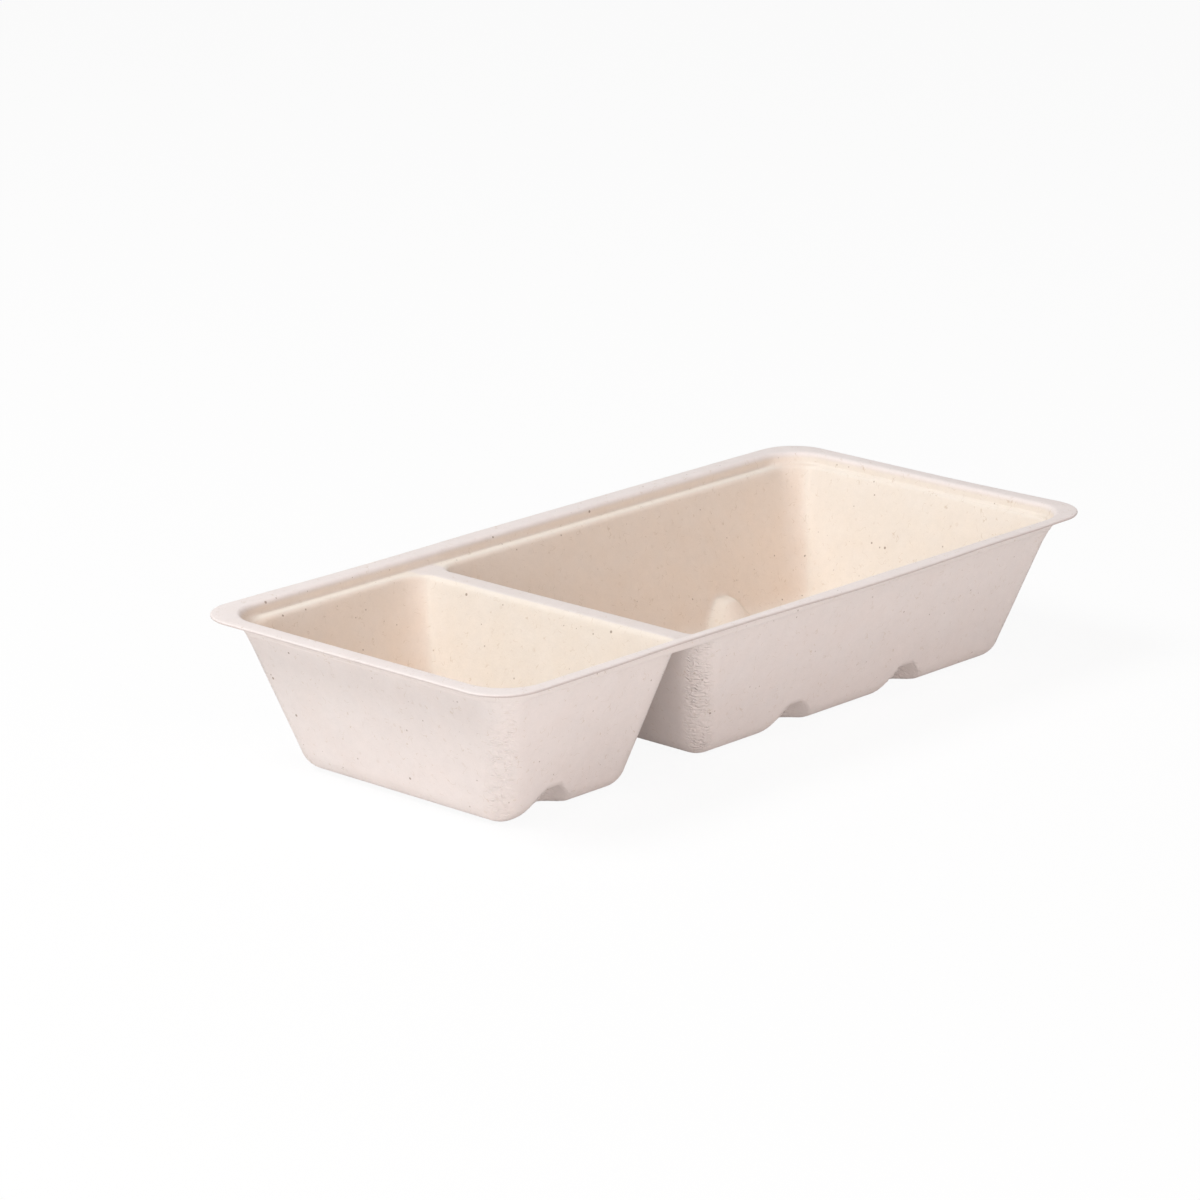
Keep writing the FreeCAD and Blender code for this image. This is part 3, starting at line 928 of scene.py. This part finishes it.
def pulp_material():
    """Pressed bagasse: mottled, with fibres, bran specks and the print of the mesh."""
    g = Graph("pressed_pulp")
    coordinates = g.nodes.new("ShaderNodeTexCoord").outputs
    in_mm = g.nodes.new("ShaderNodeVectorMath")
    in_mm.operation = "SCALE"
    in_mm.inputs["Scale"].default_value = 1 / MM
    g.put(in_mm.inputs[0], coordinates["Object"])
    place = in_mm.outputs["Vector"]
    facing = g.split(coordinates["Normal"])
    side = g.attribute("underside")["Fac"]
    patch = g.noise(place, **PATCHES)
    fibre = fibres(g, place)

    colour = mottled(g, side_colour(g, g.split(place), facing, side), place, patch)
    colour = g.blend(g.times(fibre, FIBRE_SHOWS), colour, STRAW)
    for cell, size, share, seed, shows, speck_colour in SPECKS:
        speck = specks(g, place, cell, size, share, seed)
        colour = g.blend(g.times(speck, shows), colour, speck_colour)

    relief = mesh_print(g, place, facing, side)
    relief = g.scaled(g.noise(place, **LUMPS), LUMP_HEIGHT, relief)
    relief = g.scaled(g.noise(place, **SWELLS), SWELL_HEIGHT, relief)
    relief = g.scaled(fibre, FIBRE_HEIGHT, relief)
    bump = g.nodes.new("ShaderNodeBump")
    bump.inputs["Strength"].default_value = 1.0
    bump.inputs["Distance"].default_value = MM
    g.put(bump.inputs["Height"], relief)

    shader = g.nodes["Principled BSDF"]
    g.put(shader.inputs["Base Color"], colour)
    g.put(shader.inputs["Normal"], bump.outputs["Normal"])
    g.put(shader.inputs["Roughness"], g.scaled(patch, ROUGHNESS_SPREAD, ROUGHNESS))
    shader.inputs["Specular IOR Level"].default_value = SPECULAR
    return g.material


tray.data.materials.append(pulp_material())

# ---------------------------------------------------------------- floor and backdrop
FLOOR_HALF = 6.0  # metres
FLOOR_GAP = 0.00005  # under the foot, so that the two surfaces don't mix
PAPER = (0.95, 0.95, 0.95, 1)
FLOOR_GLOW = 0.92  # the share of plain white in what the camera sees; the rest is shaded
BACKDROP = (0.8, 0.8, 0.8, 1)  # what shows past the floor
WORLD_LIGHT = 0.3
FLOOR_CORNERS = ((-1, -1), (1, -1), (1, 1), (-1, 1))

floor_mesh = bpy.data.meshes.new("floor")
floor_mesh.from_pydata([(x * FLOOR_HALF, y * FLOOR_HALF, 0) for x, y in FLOOR_CORNERS],
                       [], [(0, 1, 2, 3)])
floor = bpy.data.objects.new("floor", floor_mesh)
floor.location.z = cad_low.z - FLOOR_GAP
bpy.context.scene.collection.objects.link(floor)


def looked_at(nodes, links):
    """1 for rays from the camera, and for those that gloss or glass sends on."""
    path = nodes.new("ShaderNodeLightPath")
    rays = path.outputs["Is Camera Ray"]
    for other in ("Is Glossy Ray", "Is Transmission Ray"):
        either = nodes.new("ShaderNodeMath")
        either.operation = "MAXIMUM"
        links.new(rays, either.inputs[0])
        links.new(path.outputs[other], either.inputs[1])
        rays = either.outputs[0]
    return rays


def mixed(nodes, links, share, first, second, output):
    """Shows the second shader by that share over the first."""
    mix = nodes.new("ShaderNodeMixShader")
    links.new(share, mix.inputs["Fac"])
    links.new(first.outputs[0], mix.inputs[1])
    links.new(second.outputs[0], mix.inputs[2])
    links.new(mix.outputs[0], output.inputs["Surface"])


def paper_white():
    """A pale floor that shows white to the camera, with the object's shadow on it."""
    g = Graph("floor_paper")
    paper = g.nodes.new("ShaderNodeBsdfDiffuse")
    paper.inputs["Color"].default_value = PAPER
    glow = g.nodes.new("ShaderNodeEmission")
    glow.inputs["Color"].default_value = WHITE
    glow.inputs["Strength"].default_value = 1.0
    share = g.times(looked_at(g.nodes, g.links), FLOOR_GLOW)
    g.nodes.remove(g.nodes["Principled BSDF"])
    mixed(g.nodes, g.links, share, paper, glow, g.nodes["Material Output"])
    return g.material


def studio_world():
    """An even weak light on the object, and a pale backdrop behind it."""
    world = bpy.data.worlds.new("studio")
    world.use_nodes = True
    nodes, links = world.node_tree.nodes, world.node_tree.links
    light = nodes["Background"]
    light.inputs["Color"].default_value = WHITE
    light.inputs["Strength"].default_value = WORLD_LIGHT
    backdrop = nodes.new("ShaderNodeBackground")
    backdrop.inputs["Color"].default_value = BACKDROP
    backdrop.inputs["Strength"].default_value = 1.0
    mixed(nodes, links, looked_at(nodes, links), light, backdrop, nodes["World Output"])
    return world


floor.data.materials.append(paper_white())
scene = bpy.context.scene
scene.world = studio_world()
scene.view_settings.view_transform = "Standard"

# ---------------------------------------------------------------- lamps
LAMP_DISTANCE = 1.4  # metres


def outwards(turn, rise):
    """The direction away from the tray that is turned from -X towards -Y and raised from
    the table, both in degrees."""
    turn, rise = math.radians(180 + turn), math.radians(rise)
    return Vector((math.cos(rise) * math.cos(turn), math.cos(rise) * math.sin(turn),
                   math.sin(rise)))


def soft_lamp(name, turn, rise, size, watts, colour=(1, 1, 1)):
    """A round soft lamp aimed at the middle of the foot, with turn and rise as in
    outwards() and size in metres."""
    light = bpy.data.lights.new(name, "AREA")
    light.shape = "DISK"
    light.size = size
    light.energy = watts
    light.color = colour
    lamp = bpy.data.objects.new(name, light)
    out = outwards(turn, rise)
    lamp.location = out * LAMP_DISTANCE
    lamp.rotation_mode = "QUATERNION"
    lamp.rotation_quaternion = out.to_track_quat("Z", "Y")
    lamp.visible_camera = False
    scene.collection.objects.link(lamp)


soft_lamp("top_left", turn=-28, rise=55, size=0.7, watts=12.6)
soft_lamp("low_front", turn=45, rise=6, size=1.2, watts=5.2)
soft_lamp("low_side", turn=85, rise=8, size=1.0, watts=2.0)
soft_lamp("high_front", turn=70, rise=35, size=0.8, watts=2.6, colour=(1.0, 0.72, 0.66))

# ---------------------------------------------------------------- camera
# Fitted to the tray's outlines in the photograph. In metres, degrees and the lens in mm.
CAMERA_PLACE = (-0.86857, -0.78612, 0.37559)
CAMERA_TURN, CAMERA_RISE = 42.887, 16.475  # the direction it looks from, as in outwards()
CAMERA_ROLL = -0.211
CAMERA_LENS, CAMERA_SENSOR = 144.18, 36.0
CAMERA_NEAREST, CAMERA_FARTHEST = 0.05, 50.0

camera_data = bpy.data.cameras.new("camera")
camera_data.sensor_width = CAMERA_SENSOR
camera_data.lens = CAMERA_LENS
camera_data.clip_start, camera_data.clip_end = CAMERA_NEAREST, CAMERA_FARTHEST
camera = bpy.data.objects.new("camera", camera_data)
camera.location = CAMERA_PLACE
camera.rotation_mode = "QUATERNION"
camera.rotation_quaternion = (outwards(CAMERA_TURN, CAMERA_RISE).to_track_quat("Z", "Y")
                              @ Quaternion((0, 0, 1), math.radians(CAMERA_ROLL)))
scene.collection.objects.link(camera)
scene.camera = camera
